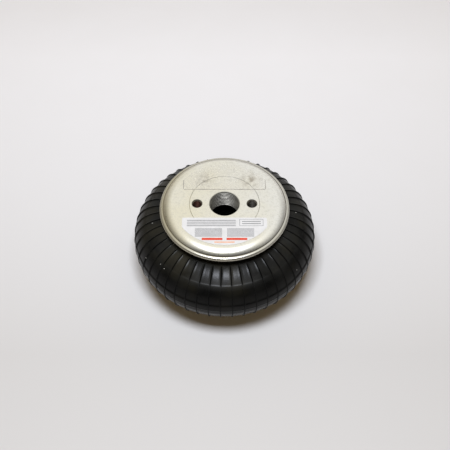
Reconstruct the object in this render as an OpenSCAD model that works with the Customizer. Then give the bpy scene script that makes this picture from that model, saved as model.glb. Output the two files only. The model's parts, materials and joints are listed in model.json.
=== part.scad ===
// Single-convolution air bellows actuator with crimped steel bead plates.
// Millimetres. +Z is the stroke axis, z = 0 is the lower mounting face.

/* [Overall] */
// Height between the two mounting faces with no air pressure
rest_height = 87; // [78:1:105]
// Largest diameter of the rubber wall between its ribs
bellows_d = 150; // [140:1:165]

/* [Bead plates] */
// Sheet thickness of the pressed plates
plate_t = 2.5; // [2:0.1:3]
// Diameter of the throat where the wall leaves the crimped rim
throat_d = 91.8; // [84:0.2:98]
// How far the crimped rim stands out past its throat
rim_w = 7; // [6:0.1:9]
// Radius of the lip's rounded edge
lip_edge_r = 2.2; // [1.8:0.1:2.5]
// Depth of the middle of the lip below the mounting face
lip_depth = 5.9; // [5.4:0.1:6.4]
// How far the lip stands out past the shoulder
lip_step = 1.4; // [1:0.1:2]
// Radius of the rounded shoulder round the flat face
shoulder_r = 8.5; // [7.5:0.5:10]

/* [Beads] */
// Diameter of the wrapped bead held in the crimped rim
bead_d = 4.2; // [3.6:0.1:4.4]
// Free space above the bead in the crimped rim
bead_room = 1; // [0.5:0.1:1.5]
// Diameter of one bead wire
bead_wire_d = 1; // [0.8:0.05:1]
// Clearance between the rubber wall and what it seats on
seat_gap = 0.3; // [0.2:0.05:0.5]

/* [Bellows wall] */
// Thickness of the outer rubber cover
cover_t = 1.4; // [1:0.1:2]
// Thickness of each cord ply
ply_t = 0.8; // [0.6:0.1:1.2]
// Thickness of the inner rubber liner
liner_t = 0.8; // [0.6:0.1:1.2]
// Radius of the fold where the wall turns out below the rim
fold_r = 4; // [3:0.5:6]
// Depth of the fold's centre below the rim
fold_drop = 0.5; // [0.3:0.1:2]

/* [Moulded pattern] */
// Number of ribs round the cover
rib_count = 48; // [24:1:60]
// Width of a rib at the widest part of the cover
rib_w = 1.2; // [0.8:0.1:2]
// Height of a rib above the cover
rib_h = 0.9; // [0.6:0.1:1.5]
// Turn of the first rib's middle from the X axis, in degrees
rib_turn = 5; // [0:0.5:7]
// Width of the belt round the widest part of the cover
belt_w = 12; // [6:1:20]
// Height of the belt above the cover
belt_h = 0.5; // [0.3:0.1:0.6]

/* [Port boss] */
// Metal between the mouth of a tapped hole and the edge of the boss
boss_land = 1.8; // [1:0.1:4]
// Width of the flange that bears on the plate from inside
flange_w = 3.5; // [2:0.5:5]
// Thickness of the flange
flange_t = 5; // [3:0.5:7]
// Depth of the boss below the mounting face
boss_depth = 18; // [17:0.5:22]
// Core diameter of the G 3/4 port thread
port_d = 24.12; // [22:0.02:26]
// Depth of the chamfer at the port's mouth
port_chamfer = 0.45; // [0.3:0.05:1]

/* [Bolt holes] */
// Distance between the two tapped holes
bolt_pitch = 44.5; // [42:0.5:46]
// Core diameter of the M8 thread
bolt_core_d = 6.8; // [6:0.1:7]
// Diameter of the countersunk mouth
bolt_mouth_d = 8.9; // [8:0.1:9.4]
// Depth of a tapped hole
bolt_depth = 13; // [10:0.5:14]

/* [Blind nuts] */
// Diameter of the nut spigot that lies flush in the bottom plate
nut_d = 15; // [13:0.5:17]
// Width of the nut's flange
nut_flange_w = 2.5; // [2:0.5:3.5]
// Thickness of the nut's flange
nut_flange_t = 3.5; // [2.5:0.5:5]
// Height of the closed nut above the mounting face
nut_h = 17; // [16.5:0.5:20]

/* [Joining] */
// Leg length of the weld seams
weld_leg = 2; // [1:0.25:3]
// Radial gap between a spigot and its hole
spigot_gap = 0.1; // [0.05:0.05:0.2]
// Edge chamfer on the boss and the nuts
edge_chamfer = 1; // [0.5:0.25:1.5]

/* [Labels] */
// Width of a label
label_w = 68; // [50:1:72]
// Distance from the label's round edge to the edge of the flat face
label_margin = 1.5; // [1:0.1:4]
// Distance from the axis to the straight edge of a label
label_start = 14.5; // [13.5:0.5:20]
// Thickness of the label film
label_t = 0.2; // [0.1:0.05:0.3]

/* [Hidden] */
$fn = 96;

// How far cutting shapes run past the faces that they cut
cut = 1;
// How far one arc bites into the next, so that they cross in a clean edge
bite = 0.05;

// Crimped rim, in the plane of radius and depth below the mounting face
rim_depth = 2 * plate_t + bead_d + bead_room;
throat_r = throat_d / 2;
lip_r = throat_r + rim_w;
flat_r = lip_r - lip_step - shoulder_r;
lip_centre = [lip_r - lip_edge_r, -lip_depth];
curl_at = throat_r + plate_t / 2;
curl_run = lip_centre[0] - curl_at;
curl_fall = rim_depth - lip_depth;
// The curl's arc runs on from the lip's round edge and ends level under the bead
curl_start_r = lip_edge_r - bite;
curl_r = (curl_run ^ 2 + curl_fall ^ 2 - curl_start_r ^ 2) / (2 * (curl_fall - curl_start_r));
curl_centre = [curl_at, curl_r - rim_depth];

// Rubber wall, in the plane of radius and height above the middle of the actuator
mid_z = rest_height / 2;
bellows_r = bellows_d / 2;
neck_r = throat_r - seat_gap;
fold_centre = [neck_r + fold_r, mid_z - rim_depth - fold_drop];
// The wall's main arc touches the fold and passes through the widest point
bulge_r = (fold_centre[1] ^ 2 + (fold_centre[0] - bellows_r) ^ 2 - fold_r ^ 2)
    / (2 * (bellows_r - neck_r));
bulge_centre = [bellows_r - bulge_r, 0];
wall_end = mid_z - rim_depth + plate_t - seat_gap;
liner_end = mid_z - plate_t - seat_gap;
liner_inset = cover_t + 2 * ply_t;
rib_angle = rib_w / bellows_r * 180 / PI;
// Angle along the main arc from the widest point to where a rib ends
rib_stop = 4;
rib_span = atan2(fold_centre[1], fold_centre[0] - bulge_centre[0]) - rib_stop;

// Wrapped bead, seated on the curl and against the liner
bead_r = bead_d / 2;
bead_centre = [neck_r - liner_inset + seat_gap + bead_r, plate_t + bead_r - rim_depth];
wire_gap = 0.05;
wire_pitch = bead_wire_d + wire_gap;
wire_tunnel_r = wire_pitch + bead_wire_d / 2 + wire_gap;

boss_r = (bolt_pitch + bolt_mouth_d) / 2 + boss_land;
nut_r = nut_d / 2;
label_edge_r = flat_r - label_margin;

// Places what is drawn downwards from the mounting face under the top face
module at_top() {
    translate([0, 0, rest_height]) children();
}

// Places the same shapes upwards from the bottom face
module at_bottom() {
    mirror([0, 0, 1]) children();
}

// Places its children at both tapped holes
module at_bolts() {
    for (side = [-1, 1])
        translate([side * bolt_pitch / 2, 0, 0]) children();
}

// The part of the curl's disc between the lip and straight down
module curl_sector() {
    reach = 2 * curl_r / norm(lip_centre - curl_centre);
    intersection() {
        translate(curl_centre) circle(curl_r);
        translate([curl_at, -2 * rim_depth]) square([2 * curl_r, 2 * rim_depth - lip_depth]);
        polygon([
            curl_centre,
            curl_centre + reach * (lip_centre - curl_centre),
            [curl_at + 2 * curl_r, -2 * rim_depth],
            [curl_at, -2 * rim_depth]
        ]);
    }
}

// Free space inside the crimped rim, open to the inside of the actuator
module rim_cavity() {
    translate([0, -rim_depth - cut]) square([flat_r, rim_depth + cut - plate_t]);
    intersection() {
        translate([flat_r, -shoulder_r]) circle(shoulder_r - plate_t);
        union() {
            translate([0, plate_t - rim_depth]) square([curl_at, rim_depth]);
            intersection() {
                translate(curl_centre) circle(curl_r - plate_t);
                translate([curl_at, -2 * rim_depth]) square([2 * curl_r, 2 * rim_depth]);
            }
        }
    }
    translate([0, -rim_depth - cut]) square([curl_at, plate_t + cut]);
}

// Half section of a bead plate: flat disc, round shoulder, lip and curl under the bead
module plate_section() {
    difference() {
        union() {
            translate([0, -rim_depth]) square([flat_r, rim_depth]);
            intersection() {
                translate([flat_r, -shoulder_r]) circle(shoulder_r);
                translate([flat_r, -lip_depth]) square([shoulder_r, lip_depth]);
            }
            translate([flat_r, -rim_depth]) square([curl_at - flat_r, curl_fall]);
            translate(lip_centre) circle(lip_edge_r);
            curl_sector();
        }
        rim_cavity();
    }
    translate([curl_at, plate_t / 2 - rim_depth]) circle(plate_t / 2 + bite);
}

// Space inside a surface that lies inset under the outside of the wall
module wall_space(inset, end) {
    fold_below = [fold_centre[0], -fold_centre[1]];
    reach = 2 * bellows_r;
    difference() {
        union() {
            translate([0, -end]) square([neck_r - inset, 2 * end]);
            polygon([[0, -fold_centre[1]], fold_below, bulge_centre, fold_centre, [0, fold_centre[1]]]);
            intersection() {
                translate(bulge_centre) circle(bulge_r - inset);
                polygon([
                    bulge_centre,
                    2 * fold_centre - bulge_centre,
                    [reach, 2 * fold_centre[1]],
                    [reach, -2 * fold_centre[1]],
                    2 * fold_below - bulge_centre
                ]);
            }
        }
        translate(fold_centre) circle(fold_r + inset + bite);
        translate(fold_below) circle(fold_r + inset + bite);
    }
}

// One layer of the wall, from its outer surface inwards
module wall_layer(inset, thickness, end) {
    translate([0, 0, mid_z])
        rotate_extrude()
            difference() {
                wall_space(inset, end);
                wall_space(inset + thickness, end + cut);
            }
}

// Band of the given height on the cover's main arc, rooted half way into the cover
module raised_band(height) {
    difference() {
        translate(bulge_centre) circle(bulge_r + height);
        translate(bulge_centre) circle(bulge_r - cover_t / 2);
    }
}

// One rib, up and over the main arc and short of both folds
module rib() {
    reach = 2 * bulge_r;
    rotate_extrude(angle = rib_angle)
        intersection() {
            raised_band(rib_h);
            polygon([
                bulge_centre,
                bulge_centre + reach * [cos(rib_span), sin(rib_span)],
                bulge_centre + reach * [1, 1],
                bulge_centre + reach * [1, -1],
                bulge_centre + reach * [cos(rib_span), -sin(rib_span)]
            ]);
        }
}

module belt() {
    rotate_extrude()
        intersection() {
            raised_band(belt_h);
            translate([bellows_r / 2, -belt_w / 2]) square([bellows_r, belt_w]);
        }
}

module ring_of_wires() {
    rotate_extrude() {
        translate(bead_centre) circle(bead_wire_d / 2);
        for (turn = [0:60:300])
            translate(bead_centre + wire_pitch * [cos(turn), sin(turn)]) circle(bead_wire_d / 2);
    }
}

module bead_wrap() {
    rotate_extrude()
        translate(bead_centre)
            difference() {
                circle(bead_r);
                circle(wire_tunnel_r);
            }
}

// Tapped hole from the mounting face down, with a countersunk mouth and a drill point
module tapped_hole() {
    mouth_r = bolt_mouth_d / 2;
    core_r = bolt_core_d / 2;
    translate([0, 0, -bolt_depth]) cylinder(h = bolt_depth + cut, r = core_r);
    translate([0, 0, core_r - mouth_r]) cylinder(h = mouth_r - core_r, r1 = core_r, r2 = mouth_r);
    translate([0, 0, -bolt_depth - core_r / 2]) cylinder(h = core_r / 2, r1 = 0, r2 = core_r);
}

// Turned insert: spigot flush with the face, flange under the plate, chamfered body
module flanged_insert(spigot_r, flange_width, flange_thickness, depth) {
    body_r = spigot_r - spigot_gap;
    translate([0, 0, -depth])
        cylinder(h = edge_chamfer, r1 = body_r - edge_chamfer, r2 = body_r);
    translate([0, 0, edge_chamfer - depth]) cylinder(h = depth - edge_chamfer, r = body_r);
    translate([0, 0, -plate_t - flange_thickness])
        cylinder(h = flange_thickness, r = spigot_r + flange_width);
}

// Three-sided seam between a flange's edge and the inner face of its plate
module weld_seam(flange_r) {
    rotate_extrude()
        translate([flange_r, -plate_t])
            polygon([[0, 0], [weld_leg, 0], [0, -weld_leg]]);
}

// Label with one straight edge, cut off by the round edge of the flat face
module label_outline() {
    intersection() {
        circle(label_edge_r);
        translate([-label_w / 2, label_start]) square([label_w, label_edge_r]);
    }
}

module top_bead_plate() {
    color("#cdc8b8")
        at_top()
            difference() {
                rotate_extrude() plate_section();
                translate([0, 0, -plate_t - cut]) cylinder(h = plate_t + 2 * cut, r = boss_r);
            }
}

module top_port_boss() {
    color("#bfbaad")
        at_top()
            difference() {
                flanged_insert(boss_r, flange_w, flange_t, boss_depth);
                translate([0, 0, -boss_depth - cut])
                    cylinder(h = boss_depth + 2 * cut, r = port_d / 2);
                translate([0, 0, -port_chamfer])
                    cylinder(h = port_chamfer, r1 = port_d / 2, r2 = port_d / 2 + port_chamfer);
                at_bolts() tapped_hole();
            }
}

module top_boss_weld() {
    color("#7d776c") at_top() weld_seam(boss_r + flange_w);
}

module clear_label() {
    color("#dcd8ca", 0.5) at_top() linear_extrude(label_t) label_outline();
}

module white_label() {
    color("#e6e6e8") at_top() linear_extrude(label_t) mirror([0, 1]) label_outline();
}

module top_bead_wires() {
    color("#a88d55") at_top() ring_of_wires();
}

module top_bead_wrap() {
    color("#3a3732") at_top() bead_wrap();
}

module outer_cover() {
    color("#1f201c") {
        wall_layer(0, cover_t, wall_end);
        translate([0, 0, mid_z]) {
            belt();
            for (i = [0:rib_count - 1])
                rotate([0, 0, rib_turn - rib_angle / 2 + i * 360 / rib_count]) rib();
        }
    }
}

module outer_cord_ply() {
    color("#6b5a3c") wall_layer(cover_t, ply_t, wall_end);
}

module inner_cord_ply() {
    color("#7c6a48") wall_layer(cover_t + ply_t, ply_t, wall_end);
}

module inner_liner() {
    color("#2b2b2b") wall_layer(liner_inset, liner_t, liner_end);
}

module bottom_bead_plate() {
    color("#cdc8b8")
        at_bottom()
            difference() {
                rotate_extrude() plate_section();
                at_bolts()
                    translate([0, 0, -plate_t - cut]) cylinder(h = plate_t + 2 * cut, r = nut_r);
            }
}

module bottom_blind_nuts() {
    color("#bfbaad")
        at_bottom()
            at_bolts()
                difference() {
                    flanged_insert(nut_r, nut_flange_w, nut_flange_t, nut_h);
                    tapped_hole();
                }
}

module bottom_nut_welds() {
    color("#7d776c") at_bottom() at_bolts() weld_seam(nut_r + nut_flange_w);
}

module bottom_bead_wires() {
    color("#a88d55") at_bottom() ring_of_wires();
}

module bottom_bead_wrap() {
    color("#3a3732") at_bottom() bead_wrap();
}

top_bead_plate();
top_port_boss();
top_boss_weld();
clear_label();
white_label();
top_bead_wires();
top_bead_wrap();
outer_cover();
outer_cord_ply();
inner_cord_ply();
inner_liner();
bottom_bead_plate();
bottom_blind_nuts();
bottom_nut_welds();
bottom_bead_wires();
bottom_bead_wrap();
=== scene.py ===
import json
import math

import bmesh
import bpy
from mathutils import Matrix, Vector


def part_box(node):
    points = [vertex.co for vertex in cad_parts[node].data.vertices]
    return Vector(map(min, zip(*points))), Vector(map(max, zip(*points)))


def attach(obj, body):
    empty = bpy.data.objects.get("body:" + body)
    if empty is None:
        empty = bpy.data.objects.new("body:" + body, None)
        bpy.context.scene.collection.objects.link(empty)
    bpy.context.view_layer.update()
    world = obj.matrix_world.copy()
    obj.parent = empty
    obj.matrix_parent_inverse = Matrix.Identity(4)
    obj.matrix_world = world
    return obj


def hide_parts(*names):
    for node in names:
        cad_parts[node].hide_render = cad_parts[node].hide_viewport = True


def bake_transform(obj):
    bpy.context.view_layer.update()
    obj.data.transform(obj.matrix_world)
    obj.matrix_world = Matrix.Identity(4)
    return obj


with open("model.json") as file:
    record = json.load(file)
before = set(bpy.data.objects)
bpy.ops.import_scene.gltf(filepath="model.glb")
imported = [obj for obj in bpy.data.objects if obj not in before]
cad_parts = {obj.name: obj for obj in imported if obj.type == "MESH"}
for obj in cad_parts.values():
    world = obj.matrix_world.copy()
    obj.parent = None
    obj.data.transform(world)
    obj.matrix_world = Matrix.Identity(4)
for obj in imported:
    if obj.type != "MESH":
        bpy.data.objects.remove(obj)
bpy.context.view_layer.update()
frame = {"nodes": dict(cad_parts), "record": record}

mm = 0.001
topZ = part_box("top_bead_plate")[1].z  # upper mounting face
midZ = topZ / 2  # widest part of the rubber wall
boltX = frame["record"]["mounts"][1]["dims"]["spacing_x_mm"] / 2
mergeGap = 0.005 * mm
print("frame loaded:", len(frame["nodes"]), "nodes, height", round(topZ / mm, 1), "mm")


# Profiles: points are (radius, height) in mm, drawn in the XZ plane and then turned about Z

def startAt(bm, point):
    return bm.verts.new((point[0] * mm, 0, point[1] * mm))


def lineTo(bm, vert, point):
    end = startAt(bm, point)
    bm.edges.new((vert, end))
    return end


def arcTo(bm, vert, centre, turn, steps):
    swept = bmesh.ops.spin(
        bm, geom=[vert], cent=(centre[0] * mm, 0, centre[1] * mm), axis=(0, -1, 0),
        angle=math.radians(turn), steps=steps,
    )
    return next(item for item in swept["geom_last"] if isinstance(item, bmesh.types.BMVert))


def directionOf(centre, point):
    return math.degrees(math.atan2(point[1] - centre[1], point[0] - centre[0]))


def circlesCross(centreA, radiusA, centreB, radiusB):
    # the two points where the circles cross, the higher one first
    a, b = Vector(centreA), Vector(centreB)
    step = (b - a).normalized()
    gap = (b - a).length
    along = (radiusA ** 2 - radiusB ** 2 + gap ** 2) / (2 * gap)
    rise = math.sqrt(radiusA ** 2 - along ** 2)
    side = Vector((-step.y, step.x)) * rise
    return sorted([a + step * along + side, a + step * along - side], key=lambda p: -p.y)


def closeSeams(bm):
    bmesh.ops.remove_doubles(bm, verts=bm.verts[:], dist=mergeGap)
    bmesh.ops.recalc_face_normals(bm, faces=bm.faces[:])


def lathe(bm, steps):
    bmesh.ops.spin(
        bm, geom=bm.verts[:] + bm.edges[:], cent=(0, 0, 0), axis=(0, 0, 1),
        angle=math.tau, steps=steps, use_merge=True,
    )
    closeSeams(bm)


def move(bm, offset):
    bmesh.ops.translate(bm, verts=bm.verts[:], vec=offset)


def turnOver(bm):
    # the same shape built upwards from the lower mounting face
    bmesh.ops.scale(bm, verts=bm.verts[:], vec=(1, 1, -1))
    bmesh.ops.recalc_face_normals(bm, faces=bm.faces[:])


def meshFrom(name, bm):
    mesh = bpy.data.meshes.new(name)
    bm.to_mesh(mesh)
    bm.free()
    piece = bpy.data.objects.new(name, mesh)
    bpy.context.scene.collection.objects.link(piece)
    return piece


def makePiece(name, bm, finish, replaced=(), sharpAngle=35):
    piece = meshFrom(name, bm)
    return dressPiece(piece, finish, replaced, sharpAngle)


def dressPiece(piece, finish, replaced, sharpAngle):
    piece.data.materials.clear()
    piece.data.materials.append(finish)
    piece.data.shade_smooth()
    piece.data.set_sharp_from_angle(angle=math.radians(sharpAngle))
    if replaced:
        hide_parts(*replaced)
    return piece


def cutAway(piece, cutters):
    # takes the cutters out of the piece and removes them
    for cutter in cutters:
        modifier = piece.modifiers.new("cut", "BOOLEAN")
        modifier.object = cutter
        modifier.solver = "EXACT"
    graph = bpy.context.evaluated_depsgraph_get()
    cut = bpy.data.meshes.new_from_object(piece.evaluated_get(graph))
    piece.modifiers.clear()
    piece.data = cut
    for cutter in cutters:
        bpy.data.objects.remove(cutter)
    return piece


# Materials

def colour(hexText):
    shares = [int(hexText[i:i + 2], 16) / 255 for i in (1, 3, 5)]
    linear = [s / 12.92 if s <= 0.04045 else ((s + 0.055) / 1.055) ** 2.4 for s in shares]
    return (*linear, 1.0)


def feed(tree, node, inputs):
    for socket, value in inputs.items():
        if isinstance(value, bpy.types.NodeSocket):
            tree.links.new(value, node.inputs[socket])
        else:
            node.inputs[socket].default_value = value


def addNode(tree, kind, inputs=None, **settings):
    node = tree.nodes.new("ShaderNode" + kind)
    for name, value in settings.items():
        setattr(node, name, value)
    feed(tree, node, inputs or {})
    return node


def newFinish(name):
    finish = bpy.data.materials.new(name)
    finish.use_nodes = True
    tree = finish.node_tree
    shader = tree.nodes["Principled BSDF"]
    place = addNode(tree, "TexCoord").outputs["Object"]
    return finish, tree, shader, place


def perMetre(sizeMm):
    # noise scale whose pattern repeats about every sizeMm
    return 1 / (sizeMm * mm)


def noise(tree, place, sizeMm, detail):
    return addNode(tree, "TexNoise", {
        "Vector": place, "Scale": perMetre(sizeMm), "Detail": detail,
    }).outputs["Fac"]


def ramp(tree, value, start, end, low=0.0, high=1.0):
    # maps start to end of a value onto low to high, and holds both ends
    return addNode(tree, "MapRange", {0: value, 1: start, 2: end, 3: low, 4: high}).outputs[0]


def calc(tree, operation, *values):
    return addNode(tree, "Math", dict(enumerate(values)), operation=operation).outputs[0]


def axesOf(tree, place):
    return addNode(tree, "SeparateXYZ", {0: place}).outputs


def distanceFrom(tree, place, point):
    return addNode(tree, "VectorMath", {0: place, 1: point}, operation="DISTANCE").outputs["Value"]


def lengthOf(tree, vector):
    return addNode(tree, "VectorMath", {0: vector}, operation="LENGTH").outputs["Value"]


def radiusAt(tree, place):
    # distance from the stroke axis
    level = addNode(tree, "VectorMath", {0: place, 1: (1, 1, 0)}, operation="MULTIPLY").outputs[0]
    return lengthOf(tree, level)


def tint(tree, share, under, over):
    # lays one colour over another by a share; either may be hex text
    paints = [colour(paint) if isinstance(paint, str) else paint for paint in (under, over)]
    return addNode(tree, "MixRGB", {"Fac": share, "Color1": paints[0], "Color2": paints[1]}).outputs[0]


def bumpFrom(tree, height, strength, depthMm):
    return addNode(tree, "Bump", {
        "Height": height, "Strength": strength, "Distance": depthMm * mm,
    }).outputs[0]


# In the looks below, a range of two or four numbers goes to ramp: from, to, and what they become

zincLook = {
    # the darkest colour here paints shade into the countersinks and the groove
    "pale": "#e0dfda", "cream": "#ded9c6", "grey": "#bdbab1", "smudge": "#8f8676", "recessShade": "#4b4132",
    "blotchMm": 26, "mottleMm": 1.8, "dentMm": 9, "dentStrength": 0.12, "dentDepthMm": 0.2, "streakMm": 4,
    "creamAcross": -0.75, "creamAlong": -0.45,
    "creamLean": (-0.045, 0.05, -0.12, 0.55), "creamShare": (0.42, 1.0, 0.0, 0.95),
    "greyShare": (0.46, 0.76, 0.0, 0.55), "roughness": (0.3, 0.75, 0.26, 0.36),
    "smudges": ((-17.0, 24.5, 10), (21.5, 25.0, 11)),  # heat marks over the boss flange: x, y, reach in mm
    "smudgeShare": 0.95, "streakShare": (0.4, 0.66),
    "grooveR": 50.1, "grooveDepth": 3.8, "grooveReach": 0.75,
    "sinkDepth": 0.2, "sinkReach": 4.7, "sinkShadeShare": 0.85,
    "tarnish": "#a39a7e", "tarnishX": (-24, -46), "tarnishR": (43, 48), "tarnishShare": 0.7,
    "lip": "#8d8878", "lipFrom": 50.0, "lipTo": 51.2, "lipShare": 0.5,
}


def zincPlate():
    # pressed steel, zinc plated: a pale satin metal, clouded with cream and fine grey mottle
    look = zincLook
    finish, tree, shader, place = newFinish("zincPlatedSteel")
    xyz = axesOf(tree, place)
    mottle = noise(tree, place, look["mottleMm"], detail=5.0)

    # the cream clouding gathers on the left and towards the front
    lean = calc(tree, "MULTIPLY", xyz["X"], look["creamAcross"])
    lean = calc(tree, "MULTIPLY_ADD", xyz["Y"], look["creamAlong"], lean)
    blotch = noise(tree, place, look["blotchMm"], detail=3.0)
    cream = calc(tree, "ADD", ramp(tree, lean, *look["creamLean"]), blotch)
    base = tint(tree, ramp(tree, cream, *look["creamShare"]), look["pale"], look["cream"])
    base = tint(tree, ramp(tree, mottle, *look["greyShare"]), base, look["grey"])

    # heat marks from the weld under the flange
    streak = ramp(tree, noise(tree, place, look["streakMm"], detail=5.0), *look["streakShare"])
    for x, y, reach in look["smudges"]:
        away = distanceFrom(tree, place, (x * mm, y * mm, topZ))
        spot = ramp(tree, away, 0.0, reach * mm, look["smudgeShare"], 0.0)
        base = tint(tree, calc(tree, "MULTIPLY", spot, streak), base, look["smudge"])

    # painted shade in the countersinks of the bolt holes
    depth = look["sinkDepth"] * mm
    sunk = ramp(tree, xyz["Z"], topZ - depth, topZ - depth / 4, look["sinkShadeShare"], 0.0)
    for side in (-1, 1):
        away = distanceFrom(tree, place, (side * boltX * mm, 0, topZ))
        near = calc(tree, "LESS_THAN", away, look["sinkReach"] * mm)
        base = tint(tree, calc(tree, "MULTIPLY", near, sunk), base, look["recessShade"])

    # painted shade in the groove between shoulder and lip, on both plates
    radius = radiusAt(tree, place)
    acrossGroove = calc(tree, "SUBTRACT", radius, look["grooveR"] * mm)
    height = calc(tree, "ABSOLUTE", calc(tree, "SUBTRACT", xyz["Z"], midZ))
    downGroove = calc(tree, "SUBTRACT", height, midZ - look["grooveDepth"] * mm)
    offGroove = lengthOf(tree, addNode(tree, "CombineXYZ", {0: acrossGroove, 1: downGroove}).outputs[0])
    base = tint(tree, ramp(tree, offGroove, 0.0, look["grooveReach"] * mm, 1.0, 0.0), base, look["recessShade"])

    # brown tarnish on the left of the shoulder
    leftSide = ramp(tree, xyz["X"], *[x * mm for x in look["tarnishX"]])
    outside = ramp(tree, radius, *[r * mm for r in look["tarnishR"]], 0.0, look["tarnishShare"])
    base = tint(tree, calc(tree, "MULTIPLY", leftSide, outside), base, look["tarnish"])

    # the crimped lip and the rim beyond it are darker than the face
    lipDarkening = ramp(tree, radius, look["lipFrom"] * mm, look["lipTo"] * mm, 0.0, look["lipShare"])
    base = tint(tree, lipDarkening, base, look["lip"])

    dents = noise(tree, place, look["dentMm"], detail=2.0)
    feed(tree, shader, {
        "Base Color": base, "Roughness": ramp(tree, mottle, *look["roughness"]), "Metallic": 1.0,
        "Normal": bumpFrom(tree, dents, look["dentStrength"], look["dentDepthMm"]),
    })
    return finish


threadLook = {
    # the oil colour also paints shade into the thread roots and over the bolt threads
    "steel": "#85827a", "oilAndShade": "#2b2823", "rust": "#38211a", "stainMm": 6,
    "stainShare": (0.35, 0.7, 0.15, 0.5), "roughness": (0.3, 0.7, 0.44, 0.52),
    "rustFrom": -16, "rustTo": -19, "rustShare": 0.85,
    "crestR": 12.2, "rootR": 12.9, "rootShadeShare": 0.9,
}


def cutThread():
    # tapped steel under a little oil: darker and streaky, with painted shade in the thread roots and over the
    # bolt threads, and red rust in the left-hand bolt holes
    look = threadLook
    finish, tree, shader, place = newFinish("tappedSteel")
    stain = noise(tree, place, look["stainMm"], detail=4.0)
    base = tint(tree, ramp(tree, stain, *look["stainShare"]), look["steel"], look["oilAndShade"])
    # painted shade in the roots of the port's thread and all over the bolt threads
    radius = radiusAt(tree, place)
    root = ramp(tree, radius, look["crestR"] * mm, look["rootR"] * mm, 0.0, look["rootShadeShare"])
    base = tint(tree, root, base, look["oilAndShade"])
    across = axesOf(tree, place)["X"]
    rusty = ramp(tree, across, look["rustFrom"] * mm, look["rustTo"] * mm, 0.0, look["rustShare"])
    feed(tree, shader, {
        "Base Color": tint(tree, rusty, base, look["rust"]), "Metallic": 1.0,
        "Roughness": ramp(tree, stain, *look["roughness"]),
    })
    return finish


rubberLook = {
    # the dust colour also paints the crown lighter than the side below it
    "black": "#050505", "dustAndLight": "#242421", "soil": "#2e2a1c", "fleck": "#c9c8c0",
    "dustMm": 14, "grainMm": 0.9, "grainStrength": 0.25, "grainDepthMm": 0.12, "soilMm": 22,
    "fleckMm": 9, "fleckSizeMm": 0.33, "ior": 1.52,
    "dustShare": (0.3, 0.75, 0.1, 0.85), "soilLean": (-0.07, 0.02, 0.2, 0.0),
    "soilShare": (0.52, 0.9, 0.0, 0.7),
    "panelRough": (0.3, 0.75, 0.25, 0.34), "ribRough": 0.75, "panelGloss": 0.09, "ribGloss": 0.02,
    "edgeGloss": 0.9, "edgeAt": 22.5, "edgeReach": 4.5, "edgeY": (-55, -66),  # wide band's upper edge, mm
    # less dust below the crown paints shade on the side of the wall
    "crownFrom": 14, "crownTo": 24, "sideDustAndShade": 0.25,  # mm above the middle, and the dust left below
}


def mouldedRubber():
    # moulded black rubber: semi-matt, with handling dust on the panels and clean dark ribs, the dust thinned
    # below the crown as painted shade
    look = rubberLook
    finish, tree, shader, place = newFinish("mouldedBlackRubber")
    xyz = axesOf(tree, place)
    ribShare = addNode(tree, "Attribute", attribute_name="ribShare").outputs["Fac"]
    panel = calc(tree, "SUBTRACT", 1.0, ribShare)
    # painted light and shade: the crown keeps its dust and reads lighter, the side below keeps less and reads
    # darker
    crownLight = ramp(
        tree, xyz["Z"], midZ + look["crownFrom"] * mm, midZ + look["crownTo"] * mm, look["sideDustAndShade"], 1.0,
    )
    panelDustAndLight = calc(tree, "MULTIPLY", panel, crownLight)

    cloud = noise(tree, place, look["dustMm"], detail=5.0)
    dustAndLight = calc(tree, "MULTIPLY", ramp(tree, cloud, *look["dustShare"]), panelDustAndLight)
    base = tint(tree, dustAndLight, look["black"], look["dustAndLight"])
    # more soil on the left, thinned below the crown as painted shade like the dust
    soil = noise(tree, place, look["soilMm"], detail=2.0)
    soil = calc(tree, "ADD", soil, ramp(tree, xyz["X"], *look["soilLean"]))
    soil = calc(tree, "MULTIPLY", ramp(tree, soil, *look["soilShare"]), panelDustAndLight)
    base = tint(tree, soil, base, look["soil"])
    fleck = addNode(tree, "TexVoronoi", {"Vector": place, "Scale": perMetre(look["fleckMm"])})
    fleck = calc(tree, "LESS_THAN", fleck.outputs["Distance"], look["fleckSizeMm"] / look["fleckMm"])
    base = tint(tree, fleck, base, look["fleck"])

    # the upper edge of the wide band is rubbed to a shine in front
    fromEdge = calc(tree, "SUBTRACT", xyz["Z"], midZ + look["edgeAt"] * mm)
    onEdge = ramp(tree, calc(tree, "ABSOLUTE", fromEdge), 0.0, look["edgeReach"] * mm, 1.0, 0.0)
    inFront = ramp(tree, xyz["Y"], *[y * mm for y in look["edgeY"]])
    onEdge = calc(tree, "MULTIPLY", onEdge, inFront)
    panelGloss = ramp(tree, onEdge, 0.0, 1.0, look["panelGloss"], look["edgeGloss"])
    panelRough = ramp(tree, cloud, *look["panelRough"])
    grain = noise(tree, place, look["grainMm"], detail=3.0)
    feed(tree, shader, {
        "Base Color": base, "IOR": look["ior"],
        "Roughness": ramp(tree, ribShare, 0.0, 1.0, panelRough, look["ribRough"]),
        "Specular IOR Level": ramp(tree, ribShare, 0.0, 1.0, panelGloss, look["ribGloss"]),
        "Normal": bumpFrom(tree, grain, look["grainStrength"], look["grainDepthMm"]),
    })
    return finish


cordLook = {
    "rubber": "#2c261c", "cord": "#8a7752", "cordMm": 1.2, "leanMm": 60, "cordShare": (-0.4, 0.6),
    "bumpStrength": 0.4, "bumpMm": 0.2, "roughness": 0.75,
}


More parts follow.
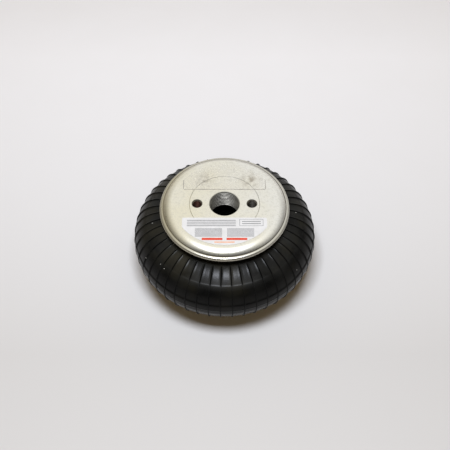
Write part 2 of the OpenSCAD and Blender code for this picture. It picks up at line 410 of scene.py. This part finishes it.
def cordPly(name, lean):
    # textile cords laid side by side in a skin of rubber: tan diagonal lines
    look = cordLook
    finish, tree, shader, place = newFinish(name)
    xyz = axesOf(tree, place)
    bearing = calc(tree, "ARCTAN2", xyz["Y"], xyz["X"])
    climb = calc(tree, "MULTIPLY", bearing, lean * look["leanMm"] * mm)
    phase = calc(tree, "ADD", xyz["Z"], climb)
    wave = calc(tree, "SINE", calc(tree, "MULTIPLY", phase, math.tau / (look["cordMm"] * mm)))
    feed(tree, shader, {
        "Base Color": tint(tree, ramp(tree, wave, *look["cordShare"]), look["rubber"], look["cord"]),
        "Normal": bumpFrom(tree, wave, look["bumpStrength"], look["bumpMm"]), "Roughness": look["roughness"],
    })
    return finish


speckleLook = {
    "share": (0.35, 0.7), "roughFrom": 0.3, "roughTo": 0.7, "roughSwing": 0.06,
    "bumpStrength": 0.1, "bumpMm": 0.1,
}


def speckledFinish(name, main, other, grainMm, roughness, metallic=0.0):
    # a plain finish broken up by fine grain of a second tone
    look = speckleLook
    finish, tree, shader, place = newFinish(name)
    grain = noise(tree, place, grainMm, detail=4.0)
    swing = look["roughSwing"]
    feed(tree, shader, {
        "Base Color": tint(tree, ramp(tree, grain, *look["share"]), main, other), "Metallic": metallic,
        "Roughness": ramp(
            tree, grain, look["roughFrom"], look["roughTo"], roughness - swing, roughness + swing,
        ),
        "Normal": bumpFrom(tree, grain, look["bumpStrength"], look["bumpMm"]),
    })
    return finish


filmLook = {
    "film": "#e2dfd6", "edge": "#6f675a", "edgeMm": 0.9, "alpha": 0.08, "edgeAlpha": 1.0,
    "cloudMm": 8, "patchShare": (0.3, 0.65, 0.25, 1.0), "roughness": 0.3, "ior": 1.57,
}


def clearFilm():
    # clear polyester film: a faint veil on the zinc, with dirt drawn in along its edges
    look = filmLook
    finish, tree, shader, place = newFinish("clearPolyesterFilm")
    xyz = axesOf(tree, place)
    half, start, wide = labelSizes["halfWidth"] * mm, labelSizes["start"] * mm, look["edgeMm"] * mm
    nearSide = ramp(tree, calc(tree, "ABSOLUTE", xyz["X"]), half - wide, half)
    nearStart = ramp(tree, xyz["Y"], start, start + wide, 1.0, 0.0)
    patchy = ramp(tree, noise(tree, place, look["cloudMm"], detail=4.0), *look["patchShare"])
    edge = calc(tree, "MULTIPLY", calc(tree, "MAXIMUM", nearSide, nearStart), patchy)
    feed(tree, shader, {
        "Base Color": tint(tree, edge, look["film"], look["edge"]),
        "Alpha": ramp(tree, edge, 0.0, 1.0, look["alpha"], look["edgeAlpha"]),
        "Roughness": look["roughness"], "IOR": look["ior"],
    })
    return finish


zinc = zincPlate()
thread = cutThread()
rubber = mouldedRubber()
whiteFilm = speckledFinish("whiteVinylFilm", "#d9d9d7", "#d0d0cd", 5, 0.42)
greyInk = speckledFinish("greyPrintInk", "#595a5d", "#77787b", 1.5, 0.5)
redInk = speckledFinish("redPrintInk", "#c9402a", "#d4563c", 1.5, 0.5)
orangeInk = speckledFinish("orangePrintInk", "#dfa583", "#e6b597", 1.5, 0.5)
weldMetal = speckledFinish("weldBead", "#7a746a", "#4f4a43", 2.5, 0.5, 1.0)
bronzeWire = speckledFinish("bronzedBeadWire", "#b0935a", "#8d7444", 2, 0.35, 1.0)
wrapFabric = speckledFinish("rubberisedWrap", "#2f2c28", "#3e3a34", 0.8, 0.8)
linerRubber = speckledFinish("linerRubber", "#1d1d1c", "#262625", 1.5, 0.55)
print("materials ready")


# Bead plates

plateSizes = {
    "sheet": 2.5, "flatR": 43, "shoulderR": 8.5, "lipCentre": (50.7, -5.9), "lipR": 2.2,
    "curlCentre": (47.15, -4.04), "curlR": 6.16, "rimDepth": 10.2, "bossHoleR": 28.5, "holeChamfer": 0.2,
    "nutHoleR": 7.5, "nutHoleSteps": 64, "grooveDip": 0.35, "grooveLift": (0.12, 0.02), "steps": 192,
    "outerArcSteps": 20, "curlSteps": 10, "edgeSteps": 8, "shoulderBackSteps": 12,
}


def plateProfile(bm, innerR, chamfer):
    size = plateSizes
    sheet = size["sheet"]
    shoulder = (size["flatR"], -size["shoulderR"])
    lip, curl = size["lipCentre"], size["curlCentre"]
    groove = circlesCross(shoulder, size["shoulderR"], lip, size["lipR"])[0]
    first = startAt(bm, (innerR, -chamfer))
    vert = lineTo(bm, first, (innerR + chamfer, 0)) if chamfer else first
    vert = lineTo(bm, vert, (size["flatR"], 0))
    vert = arcTo(bm, vert, shoulder, directionOf(shoulder, groove) - 90, size["outerArcSteps"])
    dip = (groove.x - size["grooveDip"] / 2, groove.y - size["grooveDip"])
    vert = lineTo(bm, vert, dip)
    vert = lineTo(bm, vert, groove + Vector(size["grooveLift"]))
    toCurl = directionOf(curl, lip)
    vert = arcTo(bm, vert, lip, toCurl - directionOf(lip, groove), size["outerArcSteps"])
    vert = arcTo(bm, vert, curl, -90 - toCurl, size["curlSteps"])
    vert = arcTo(bm, vert, (curl[0], sheet / 2 - size["rimDepth"]), -180, size["edgeSteps"])
    inner = circlesCross(curl, size["curlR"] - sheet, shoulder, size["shoulderR"] - sheet)[1]
    vert = arcTo(bm, vert, curl, directionOf(curl, inner) + 90, size["edgeSteps"])
    vert = arcTo(bm, vert, shoulder, 90 - directionOf(shoulder, inner), size["shoulderBackSteps"])
    vert = lineTo(bm, vert, (innerR, -sheet))
    if innerR:
        bm.edges.new((vert, first))


def plateMesh(innerR, chamfer):
    bm = bmesh.new()
    plateProfile(bm, innerR, chamfer)
    lathe(bm, plateSizes["steps"])
    return bm


topPlateMesh = plateMesh(plateSizes["bossHoleR"], plateSizes["holeChamfer"])
move(topPlateMesh, (0, 0, topZ))
topPlate = makePiece("topBeadPlate", topPlateMesh, zinc, ("top_bead_plate",))
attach(topPlate, "top")

bottomPlateMesh = plateMesh(0, 0)
turnOver(bottomPlateMesh)
bottomPlate = meshFrom("bottomBeadPlate", bottomPlateMesh)
holeCutters = []
for side in (-1, 1):
    hole = bmesh.new()
    bmesh.ops.create_cone(
        hole, cap_ends=True, segments=plateSizes["nutHoleSteps"], radius1=plateSizes["nutHoleR"] * mm,
        radius2=plateSizes["nutHoleR"] * mm, depth=4 * plateSizes["sheet"] * mm,
    )
    move(hole, (side * boltX * mm, 0, 0))
    holeCutters.append(meshFrom("nutHole", hole))
cutAway(bottomPlate, holeCutters)
dressPiece(bottomPlate, zinc, ("bottom_bead_plate",), sharpAngle=35)
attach(bottomPlate, "base")
print("bead plates ready")


# Threads: a tooth line turned into a helix, cut level at both ends and closed behind

threadSizes = {
    "port": {
        "core": 12.06, "root": 13.22, "back": 13.5, "pitch": 1.814, "top": 0.5, "bottom": 17.5, "steps": 96,
    },
    "bolt": {
        "core": 3.4, "root": 4.02, "back": 4.2, "pitch": 1.25, "top": 1.1, "bottom": 12.9, "steps": 48,
    },
}
toothStops = (("core", 0.18), ("root", 0.5), ("root", 0.68), ("core", 1.0))  # radius and share of the pitch
spareTurns = 2  # wound on below the thread, so that its level cut falls within the helix


def threadSleeve(kind, centreX):
    size = threadSizes[kind]
    pitch = size["pitch"]
    bm = bmesh.new()
    low = -size["bottom"] - spareTurns * pitch
    vert = startAt(bm, (size["core"], low))
    for tooth in range(math.ceil((size["bottom"] - size["top"]) / pitch) + spareTurns + 1):
        for radius, share in toothStops:
            vert = lineTo(bm, vert, (size[radius], low + (tooth + share) * pitch))
    bmesh.ops.spin(
        bm, geom=bm.verts[:] + bm.edges[:], cent=(0, 0, 0), axis=(0, 0, 1),
        dvec=(0, 0, pitch * mm / size["steps"]), angle=math.tau, steps=size["steps"],
    )
    bmesh.ops.remove_doubles(bm, verts=bm.verts[:], dist=mergeGap)
    for depth, up in ((size["top"], 1), (size["bottom"], -1)):
        bmesh.ops.bisect_plane(
            bm, geom=bm.verts[:] + bm.edges[:] + bm.faces[:], dist=mergeGap,
            plane_co=(0, 0, -depth * mm), plane_no=(0, 0, up), clear_outer=True,
        )
    bmesh.ops.remove_doubles(bm, verts=bm.verts[:], dist=mergeGap)
    rim = [edge for edge in bm.edges if edge.is_boundary]
    back = bmesh.ops.extrude_edge_only(bm, edges=rim)["geom"]
    backEdges = [item for item in back if isinstance(item, bmesh.types.BMEdge)]
    for vert in (item for item in back if isinstance(item, bmesh.types.BMVert)):
        outward = Vector((vert.co.x, vert.co.y, 0)).normalized() * size["back"] * mm
        vert.co = (outward.x, outward.y, vert.co.z)
    bmesh.ops.bridge_loops(bm, edges=[edge for edge in backEdges if edge.is_boundary])
    closeSeams(bm)
    move(bm, (centreX * mm, 0, 0))
    return bm


# Port boss, turned, with the port recess for its thread and two pockets for the bolt threads

bossSizes = {
    "spigotR": 28.4, "flangeR": 32, "flangeTop": 2.5, "flangeEnd": 7.5, "depth": 18, "chamfer": 1,
    "faceChamfer": 0.2, "steps": 192,
    "mouthR": 12.51, "mouthDepth": 0.45, "portR": threadSizes["port"]["core"],
    "recessR": 13.55, "recessTop": 0.48, "recessEnd": 17.6,
    "boltMouthR": 4.45, "boltCoreR": threadSizes["bolt"]["core"],
    "pocketR": 4.25, "pocketTop": 1.05, "pocketStep": 0.02, "pocketEnd": 13.0, "pocketSteps": 64,
    "cutterOver": 1.0,  # how far the pockets' cutter stands above the face
}


def bossMesh():
    size = bossSizes
    bm = bmesh.new()
    outline = (
        (size["spigotR"] - size["faceChamfer"], 0), (size["spigotR"], -size["faceChamfer"]),
        (size["spigotR"], -size["flangeTop"]), (size["flangeR"], -size["flangeTop"]),
        (size["flangeR"], -size["flangeEnd"]), (size["spigotR"], -size["flangeEnd"]),
        (size["spigotR"], size["chamfer"] - size["depth"]),
        (size["spigotR"] - size["chamfer"], -size["depth"]),
        (size["portR"], -size["depth"]), (size["portR"], -size["recessEnd"]),
        (size["recessR"], -size["recessEnd"]), (size["recessR"], -size["recessTop"]),
        (size["portR"], -size["recessTop"]), (size["portR"], -size["mouthDepth"]),
    )
    first = startAt(bm, (size["mouthR"], 0))
    vert = first
    for point in outline:
        vert = lineTo(bm, vert, point)
    bm.edges.new((vert, first))
    lathe(bm, size["steps"])
    return bm


def boltPocket(centreX):
    size = bossSizes
    over = size["cutterOver"]
    bm = bmesh.new()
    vert = startAt(bm, (0, over))
    for point in (
        (size["boltMouthR"] + over, over), (size["boltCoreR"], -size["pocketTop"]),
        (size["pocketR"], -size["pocketTop"] - size["pocketStep"]), (size["pocketR"], -size["pocketEnd"]),
        (0, -size["pocketEnd"] - size["boltCoreR"] / 2),
    ):
        vert = lineTo(bm, vert, point)
    lathe(bm, size["pocketSteps"])
    move(bm, (centreX * mm, 0, 0))
    return bm


boss = meshFrom("portBoss", bossMesh())
cutAway(boss, [meshFrom("boltPocket", boltPocket(side * boltX)) for side in (-1, 1)])
boss.data.transform(Matrix.Translation((0, 0, topZ)))
dressPiece(boss, zinc, ("top_port_boss",), sharpAngle=30)
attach(boss, "top")
for name, kind, centreX in (
    ("portThread", "port", 0), ("leftBoltThread", "bolt", -boltX), ("rightBoltThread", "bolt", boltX),
):
    sleeve = threadSleeve(kind, centreX)
    move(sleeve, (0, 0, topZ))
    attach(makePiece(name, sleeve, thread, sharpAngle=50), "top")
print("port boss ready")


# Blind nuts in the bottom plate

nutSizes = {
    "spigotR": 7.4, "flangeR": 10, "flangeTop": 2.5, "flangeEnd": 6, "depth": 17, "chamfer": 1,
    "faceChamfer": 0.3, "steps": 96,
}


def nutMesh(centreX):
    size, hole = nutSizes, bossSizes
    bm = bmesh.new()
    vert = startAt(bm, (0, -size["depth"]))
    for point in (
        (size["spigotR"] - size["chamfer"], -size["depth"]),
        (size["spigotR"], size["chamfer"] - size["depth"]),
        (size["spigotR"], -size["flangeEnd"]), (size["flangeR"], -size["flangeEnd"]),
        (size["flangeR"], -size["flangeTop"]), (size["spigotR"], -size["flangeTop"]),
        (size["spigotR"], -size["faceChamfer"]), (size["spigotR"] - size["faceChamfer"], 0),
        (hole["boltMouthR"], 0), (hole["boltCoreR"], -hole["pocketTop"]),
        (hole["pocketR"], -hole["pocketTop"] - hole["pocketStep"]), (hole["pocketR"], -hole["pocketEnd"]),
        (0, -hole["pocketEnd"] - hole["boltCoreR"] / 2),
    ):
        vert = lineTo(bm, vert, point)
    lathe(bm, size["steps"])
    move(bm, (centreX * mm, 0, 0))
    turnOver(bm)
    return bm


for name, side in (("leftBlindNut", -1), ("rightBlindNut", 1)):
    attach(makePiece(name, nutMesh(side * boltX), zinc, ("bottom_blind_nuts",)), "base")
    sleeve = threadSleeve("bolt", side * boltX)
    turnOver(sleeve)
    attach(makePiece(name + "Thread", sleeve, thread, sharpAngle=50), "base")
print("blind nuts ready")


# Rubber wall

wallSizes = {
    "neckR": 45.6, "foldCentre": (49.6, 32.8), "bulgeCentreR": 46.0034, "bulgeR": 28.9966,
    "coverEnd": 35.5, "linerEnd": 40.7, "cover": 1.4, "ply": 0.8, "liner": 0.8,
    "blendFrom": 9.8, "plySteps": 144, "foldSteps": 9, "lastSteps": 2, "backFoldSteps": 8, "backSteps": 24,
    "plyArcs": ((0, 16), (-60, 16)),  # stops of the layers' main arc in degrees, with steps
    "surfaceGap": 0.01,  # a point this close to the outer surface is on it
}
ribSizes = {
    "count": 48, "turn": 5, "height": 0.9, "span": 79.7, "taper": 3,
    # mm round the widest part, share of height
    "section": ((-0.78, 0.0), (-0.58, 0.1), (-0.46, 0.6), (-0.28, 0.94), (0.0, 1.0),
                (0.28, 0.94), (0.46, 0.6), (0.58, 0.1), (0.78, 0.0)),
    "panelSteps": 4, "startSteps": 2, "taperSteps": 3,
}
beltSizes = {
    "bands": ((21.5, 0.2), (6, 0.5)),  # half width and height in mm of the wide band and the belt on it
    "edge": 0.9, "seam": 0.12, "seamHalf": 0.35, "ribFade": 0.5,
    "bandSteps": (16, 12), "edgeSteps": 3, "seamSteps": 5, "crestSteps": 4,
}


def wallSide(bm, inset, end, arcs):
    # the wall's outer surface from its upper end to its lower end; arcs are the main arc's stops in degrees
    size = wallSizes
    foldR, foldZ = size["foldCentre"]
    bulge = (size["bulgeCentreR"], 0)
    touch = directionOf(bulge, size["foldCentre"])
    neck = size["neckR"] - inset
    first = startAt(bm, (neck, end))
    vert = lineTo(bm, first, (neck, foldZ))
    vert = arcTo(bm, vert, (foldR, foldZ), touch, size["foldSteps"])
    before = touch
    for stop, steps in arcs:
        vert = arcTo(bm, vert, bulge, stop - before, steps)
        before = stop
    vert = arcTo(bm, vert, bulge, -touch - before, size["lastSteps"])
    vert = arcTo(bm, vert, (foldR, -foldZ), touch, size["foldSteps"])
    vert = lineTo(bm, vert, (neck, -end))
    return first, vert


def backSide(bm, vert, inset, end):
    # the wall's inner surface, from the lower end back to the upper end
    size = wallSizes
    foldR, foldZ = size["foldCentre"]
    bulge = (size["bulgeCentreR"], 0)
    touch = directionOf(bulge, size["foldCentre"])
    neck = size["neckR"] - inset
    vert = lineTo(bm, vert, (neck, -end))
    vert = lineTo(bm, vert, (neck, -foldZ))
    vert = arcTo(bm, vert, (foldR, -foldZ), -touch, size["backFoldSteps"])
    vert = arcTo(bm, vert, bulge, 2 * touch, size["backSteps"])
    vert = arcTo(bm, vert, (foldR, foldZ), -touch, size["backFoldSteps"])
    return lineTo(bm, vert, (neck, end))


def followBoth(piece):
    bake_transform(piece)


def easeStep(share):
    share = min(max(share, 0), 1)
    return share * share * (3 - 2 * share)


def ribShareAt(azimuth, meridian):
    pitch = 360 / ribSizes["count"]
    off = (azimuth - ribSizes["turn"] + pitch / 2) % pitch - pitch / 2
    offMm = math.radians(off) * (wallSizes["bulgeCentreR"] + wallSizes["bulgeR"])
    points = ribSizes["section"]
    share = 0.0
    for (x0, h0), (x1, h1) in zip(points, points[1:]):
        if x0 <= offMm <= x1:
            share = h0 + (h1 - h0) * (offMm - x0) / (x1 - x0)
    return share * easeStep((ribSizes["span"] - abs(meridian)) / ribSizes["taper"])


def bandShareAt(heightMm, half):
    return easeStep((half + beltSizes["edge"] / 2 - abs(heightMm)) / beltSizes["edge"])


def beltHeightAt(heightMm):
    seam = beltSizes["seam"] * easeStep(1 - abs(heightMm) / beltSizes["seamHalf"])
    return seam + sum(rise * bandShareAt(heightMm, half) for half, rise in beltSizes["bands"])


def coverMesh():
    size, rib, belt = wallSizes, ribSizes, beltSizes
    bm = bmesh.new()
    # stops of the main arc down to the seam, then the same ones mirrored below it
    upper = [(rib["span"], rib["startSteps"]), (rib["span"] - rib["taper"], rib["taperSteps"])]
    for (half, _), steps in zip(belt["bands"], belt["bandSteps"]):
        for side, arcSteps in ((1, steps), (-1, belt["edgeSteps"])):
            height = half + side * belt["edge"] / 2
            upper.append((math.degrees(math.asin(height / size["bulgeR"])), arcSteps))
    upper.append((math.degrees(belt["seamHalf"] / size["bulgeR"]), belt["seamSteps"]))
    stepsBelow = [belt["crestSteps"]] + [steps for _, steps in upper[:0:-1]]
    lower = [(-angle, steps) for (angle, _), steps in zip(reversed(upper), stepsBelow)]
    first, vert = wallSide(bm, 0, size["coverEnd"], upper + lower)
    vert = backSide(bm, vert, size["cover"], size["coverEnd"])
    bm.edges.new((vert, first))

    # one rib pitch: fine columns across the rib and a few across the panel beside it
    perMm = 1 / (size["bulgeCentreR"] + size["bulgeR"])
    offsets = [x for x, _ in rib["section"]]
    bmesh.ops.rotate(bm, verts=bm.verts[:], cent=(0, 0, 0),
                     matrix=Matrix.Rotation(math.radians(rib["turn"]) + offsets[0] * perMm, 3, "Z"))
    column = bm.verts[:] + bm.edges[:]
    panel = math.tau / rib["count"] - (offsets[-1] - offsets[0]) * perMm
    turns = [((b - a) * perMm, 1) for a, b in zip(offsets, offsets[1:])] + [(panel, rib["panelSteps"])]
    for angle, steps in turns:
        swept = bmesh.ops.spin(bm, geom=column, cent=(0, 0, 0), axis=(0, 0, 1), angle=angle, steps=steps)
        column = swept["geom_last"]

    # raise rib, belt and seam out of the moulded surface
    layer = bm.verts.layers.float.new("ribShare")
    for vert in bm.verts:
        radius = math.hypot(vert.co.x, vert.co.y) / mm
        height = vert.co.z / mm
        outR = math.hypot(radius - size["bulgeCentreR"], height)
        meridian = math.degrees(math.atan2(height, radius - size["bulgeCentreR"]))
        if outR > size["bulgeR"] - size["surfaceGap"] and abs(meridian) < rib["span"]:
            share = ribShareAt(math.degrees(math.atan2(vert.co.y, vert.co.x)), meridian)
            wide, rise = belt["bands"][0]
            onBand = bandShareAt(height, wide)
            lift = max(share * (rib["height"] + rise * onBand), beltHeightAt(height))
            grow = (outR + lift) / outR
            newR = size["bulgeCentreR"] + (radius - size["bulgeCentreR"]) * grow
            vert.co = Vector((vert.co.x * newR / radius, vert.co.y * newR / radius, height * grow * mm))
            vert[layer] = share * (1 - belt["ribFade"] * onBand)

    # the same pitch all the way round
    others = rib["count"] - 1
    bmesh.ops.spin(
        bm, geom=bm.verts[:] + bm.edges[:] + bm.faces[:], cent=(0, 0, 0), axis=(0, 0, 1),
        angle=math.tau * others / rib["count"], steps=others, use_duplicate=True,
    )
    closeSeams(bm)
    move(bm, (0, 0, midZ))
    return bm


cover = makePiece("rubberCover", coverMesh(), rubber, ("outer_cover",), sharpAngle=80)
followBoth(cover)
print("rubber cover ready:", len(cover.data.polygons), "faces")

layers = (
    ("outerCordPly", "outer_cord_ply", "cord_ply", cordPly("cordPlyRight", 1), "cover", "ply", "coverEnd"),
    ("innerCordPly", "inner_cord_ply", "cord_ply", cordPly("cordPlyLeft", -1), "ply", "ply", "coverEnd"),
    ("innerLiner", "inner_liner", "liner_rubber", linerRubber, "ply", "liner", "linerEnd"),
)
inset = 0
for name, node, slot, finish, above, thickness, end in layers:
    inset += wallSizes[above]
    bm = bmesh.new()
    first, vert = wallSide(bm, inset, wallSizes[end], wallSizes["plyArcs"])
    vert = backSide(bm, vert, inset + wallSizes[thickness], wallSizes[end])
    bm.edges.new((vert, first))
    lathe(bm, wallSizes["plySteps"])
    move(bm, (0, 0, midZ))
    followBoth(makePiece(name, bm, finish, (node,)))
print("inner layers ready")


# Labels on the top plate

labelSizes = {
    "halfWidth": 34, "start": 14.5, "edgeR": 41.5, "film": 0.2, "glue": 0.02, "segments": 192,
    "cornerR": 1.5, "cornerAngle": 20, "cornerSteps": 6,
}


def labelMesh(front):
    size = labelSizes
    bm = bmesh.new()
    bmesh.ops.create_circle(bm, cap_ends=True, segments=size["segments"], radius=size["edgeR"] * mm)
    for planeAt, planeNormal in (
        ((size["halfWidth"], 0, 0), (1, 0, 0)), ((-size["halfWidth"], 0, 0), (-1, 0, 0)),
        ((0, size["start"], 0), (0, -1, 0)),
    ):
        bmesh.ops.bisect_plane(
            bm, geom=bm.verts[:] + bm.edges[:] + bm.faces[:], plane_co=Vector(planeAt) * mm,
            plane_no=planeNormal, clear_outer=True,
        )
    corners = [vert for vert in bm.verts if vert.calc_edge_angle(0) > math.radians(size["cornerAngle"])]
    bmesh.ops.bevel(
        bm, geom=corners, affect="VERTICES", offset=size["cornerR"] * mm, segments=size["cornerSteps"],
        profile=0.5, material=-1,
    )
    raised = bmesh.ops.extrude_face_region(bm, geom=bm.faces[:])["geom"]
    bmesh.ops.translate(bm, verts=[v for v in raised if isinstance(v, bmesh.types.BMVert)],
                        vec=(0, 0, (size["film"] - size["glue"]) * mm))
    if front:
        bmesh.ops.scale(bm, verts=bm.verts[:], vec=(1, -1, 1))
    closeSeams(bm)
    move(bm, (0, 0, topZ + size["glue"] * mm))
    return bm


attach(makePiece("clearLabel", labelMesh(False), clearFilm(), ("clear_label",)), "top")
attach(makePiece("whiteLabel", labelMesh(True), whiteFilm, ("white_label",)), "top")

# blank ruled fields: x from, x to, y of the first rule, rules, spacing, thickness in mm
ruleFields = {
    "greyRules": (
        (-30, 9, -17.2, 4, 1.8, 0.6), (-23.5, -2, -25.6, 8, 1.05, 0.45), (2, 23.5, -25.6, 8, 1.05, 0.45),
        # a frame of two level and two upright bars, with two rules in it
        (12, 31, -16.2, 2, 6.4, 0.3), (12, 12.3, -19.4, 1, 1.0, 6.4), (30.7, 31, -19.4, 1, 1.0, 6.4),
        (14, 29, -18.3, 2, 2.2, 0.6),
    ),
    "redRule": ((-18, -1.6, -35.6, 1, 1.0, 2.2), (1.6, 18, -35.6, 1, 1.0, 2.2)),
    "orangeRule": ((-8, 8, -38.7, 1, 1.0, 1.2),),
}
ruleThick = 0.03  # printed ink, half of it above the film


def rulesMesh(fields):
    bm = bmesh.new()
    for left, right, firstY, count, spacing, thick in fields:
        for row in range(count):
            made = bmesh.ops.create_cube(bm, size=1)["verts"]
            bmesh.ops.scale(bm, verts=made, vec=Vector((right - left, thick, ruleThick)) * mm)
            middle = Vector(((left + right) / 2, firstY - row * spacing, 0))
            bmesh.ops.translate(bm, verts=made, vec=middle * mm)
    move(bm, (0, 0, topZ + labelSizes["film"] * mm))
    return bm


for name, ink in (("greyRules", greyInk), ("redRule", redInk), ("orangeRule", orangeInk)):
    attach(makePiece(name, rulesMesh(ruleFields[name]), ink), "top")
print("labels ready")


# Nodes that keep their own shape inside the assembly

keptNodes = {
    "top_boss_weld": weldMetal, "bottom_nut_welds": weldMetal, "top_bead_wires": bronzeWire,
    "bottom_bead_wires": bronzeWire, "top_bead_wrap": wrapFabric, "bottom_bead_wrap": wrapFabric,
}
for node, finish in keptNodes.items():
    keptMesh = frame["nodes"][node].data
    keptMesh.materials.clear()
    keptMesh.materials.append(finish)


# Floor, light and camera

stageLook = {
    # the front and back colours paint the light falling off towards the front
    "front": "#cfcecb", "back": "#fdfeff", "fibre": "#d8d4cc",
    "fibreMm": 40, "fibreShare": 0.08, "roughness": 0.9,
    "fadeFrom": -0.09, "fadeTo": 0.26, "floorSize": 6, "floorDrop": 0.0002,  # metres
}


def paleFloor():
    # matt studio paper with the faintest fibre, with painted light: paler towards the back, darker towards
    # the front
    look = stageLook
    finish, tree, shader, place = newFinish("palePaper")
    paintedFalloff = ramp(tree, axesOf(tree, place)["Y"], look["fadeFrom"], look["fadeTo"])
    base = tint(tree, paintedFalloff, look["front"], look["back"])
    fibre = ramp(tree, noise(tree, place, look["fibreMm"], detail=2.0), 0.0, 1.0, 0.0, look["fibreShare"])
    feed(tree, shader, {"Base Color": tint(tree, fibre, base, look["fibre"]), "Roughness": look["roughness"]})
    return finish


floorMesh = bmesh.new()
bmesh.ops.create_grid(floorMesh, x_segments=1, y_segments=1, size=stageLook["floorSize"] / 2)
move(floorMesh, (0, 0, -stageLook["floorDrop"]))
floor = meshFrom("floor", floorMesh)
floor.data.materials.append(paleFloor())

lightLook = {
    "key": "#ebf0fb", "keyPower": 12.4,
    "keySize": (0.34, 0.24), "keyAt": (-0.03, -0.28, 1.03),  # metres
    "ambient": "#ffdfae", "ambientStrength": 0.23, "pale": "#fcfbf7", "paleStrength": 1.09,
    "frontShare": 0.2,  # how bright the room behind the camera mirrors, against the room behind the object
    "lowShare": 0.25,  # how bright the walls mirror low down, against the ceiling
    "aheadSpan": (-0.75, -0.1), "raisedSpan": (0.1, 0.8), "backSpan": (0.3, 0.8),  # parts of a unit direction
}


def softbox(name, hexText, power, size, at, aim):
    light = bpy.data.lights.new(name, "AREA")
    light.shape = "RECTANGLE"
    light.size, light.size_y = size
    light.energy = power
    light.color = colour(hexText)[:3]
    panel = bpy.data.objects.new(name, light)
    panel.location = at
    panel.rotation_euler = (Vector(at) - Vector(aim)).to_track_quat("Z", "Y").to_euler()
    bpy.context.scene.collection.objects.link(panel)


def roomLight():
    # pale room: bright ceiling and back, dimmer low down and behind the camera
    look = lightLook
    world = bpy.data.worlds.new("paleRoom")
    bpy.context.scene.world = world
    world.use_nodes = True
    tree = world.node_tree
    tree.nodes.clear()
    towards = axesOf(tree, addNode(tree, "TexCoord").outputs["Generated"])
    ahead = ramp(tree, towards["Y"], *look["aheadSpan"], look["frontShare"], 1.0)
    raised = ramp(tree, towards["Z"], *look["raisedSpan"], look["lowShare"], 1.0)
    mirrored = calc(tree, "MAXIMUM", raised, ramp(tree, towards["Y"], *look["backSpan"]))
    mirrored = calc(tree, "MULTIPLY", calc(tree, "MULTIPLY", mirrored, ahead), look["paleStrength"])
    path = addNode(tree, "LightPath").outputs
    shown = calc(tree, "MAXIMUM", path["Is Camera Ray"], path["Is Glossy Ray"])
    shown = calc(tree, "MAXIMUM", shown, path["Is Transmission Ray"])
    diffuse = addNode(tree, "Background", {
        "Color": colour(look["ambient"]), "Strength": look["ambientStrength"],
    }).outputs[0]
    pale = addNode(tree, "Background", {"Color": colour(look["pale"]), "Strength": mirrored}).outputs[0]
    both = addNode(tree, "MixShader", {0: shown, 1: diffuse, 2: pale}).outputs[0]
    addNode(tree, "OutputWorld", {"Surface": both})


cameraLook = {
    "lens": 80, "sensor": 36, "elevation": 53.3, "distance": 810.56,
    "aimPixel": (224.5, 203.5), "imageSize": 450,
}


def photoCamera():
    # aimed so that the middle of the upper face lands on its pixel of the photograph
    look = cameraLook
    tilt = math.radians(look["elevation"])
    forward = Vector((0, math.cos(tilt), -math.sin(tilt)))
    up = Vector((0, math.sin(tilt), math.cos(tilt)))
    pixels = look["lens"] / look["sensor"] * look["imageSize"]
    reach = look["distance"] * mm
    right = (look["aimPixel"][0] - look["imageSize"] / 2) / pixels * reach
    down = (look["aimPixel"][1] - look["imageSize"] / 2) / pixels * reach
    camera = bpy.data.objects.new("camera", bpy.data.cameras.new("camera"))
    camera.data.lens = look["lens"]
    camera.data.sensor_width = look["sensor"]
    camera.location = Vector((0, 0, topZ)) - forward * reach - Vector((right, 0, 0)) + up * down
    camera.rotation_euler = (math.pi / 2 - tilt, 0, 0)
    bpy.context.scene.collection.objects.link(camera)
    bpy.context.scene.camera = camera


softbox(
    "softboxAbove", lightLook["key"], lightLook["keyPower"], lightLook["keySize"], lightLook["keyAt"],
    (0, 0, midZ),
)
roomLight()
photoCamera()
bpy.context.scene.view_settings.view_transform = "Standard"
print("stage ready")
